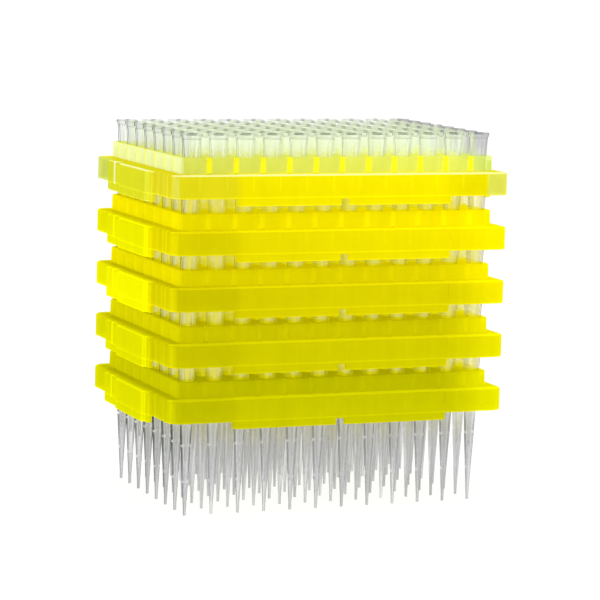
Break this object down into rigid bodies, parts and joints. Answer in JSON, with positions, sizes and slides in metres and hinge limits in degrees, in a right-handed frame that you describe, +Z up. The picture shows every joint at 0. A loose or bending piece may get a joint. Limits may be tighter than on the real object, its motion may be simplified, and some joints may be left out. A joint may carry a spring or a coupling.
{
  "type": "nested stack of pipette tip trays",
  "caption": "Nested refill stack of thin moulded trays, each holding a full grid of clear conical pipette tips hung by their heads, points down.",
  "frame": {"origin": "on the surface the stack stands on, under the middle of the grid of tips", "axes": "+Z up along the tips; X along the longer rows of tips; Y across the rows; -Y is the front"},
  "size_m": [0.1202, 0.08, 0.121],
  "materials": {
    "tray": "translucent fluorescent yellow moulded polypropylene, satin, light passing through thin walls",
    "tip": "clear moulded polypropylene, smooth and slightly cloudy"
  },
  "bodies": {
    "root": {"tray_1": "tray", "tips_1_row_a": "tip", "tips_1_row_b": "tip", "tips_1_row_c": "tip", "tips_1_row_d": "tip", "tips_1_row_e": "tip", "tips_1_row_f": "tip", "tips_1_row_g": "tip", "tips_1_row_h": "tip", "tray_2": "tray", "tips_2_row_a": "tip", "tips_2_row_b": "tip", "tips_2_row_c": "tip", "tips_2_row_d": "tip", "tips_2_row_e": "tip", "tips_2_row_f": "tip", "tips_2_row_g": "tip", "tips_2_row_h": "tip", "tray_3": "tray", "tips_3_row_a": "tip", "tips_3_row_b": "tip", "tips_3_row_c": "tip", "tips_3_row_d": "tip", "tips_3_row_e": "tip", "tips_3_row_f": "tip", "tips_3_row_g": "tip", "tips_3_row_h": "tip", "tray_4": "tray", "tips_4_row_a": "tip", "tips_4_row_b": "tip", "tips_4_row_c": "tip", "tips_4_row_d": "tip", "tips_4_row_e": "tip", "tips_4_row_f": "tip", "tips_4_row_g": "tip", "tips_4_row_h": "tip", "tray_5": "tray", "tips_5_row_a": "tip", "tips_5_row_b": "tip", "tips_5_row_c": "tip", "tips_5_row_d": "tip", "tips_5_row_e": "tip", "tips_5_row_f": "tip", "tips_5_row_g": "tip", "tips_5_row_h": "tip"}
  },
  "joints": []
}
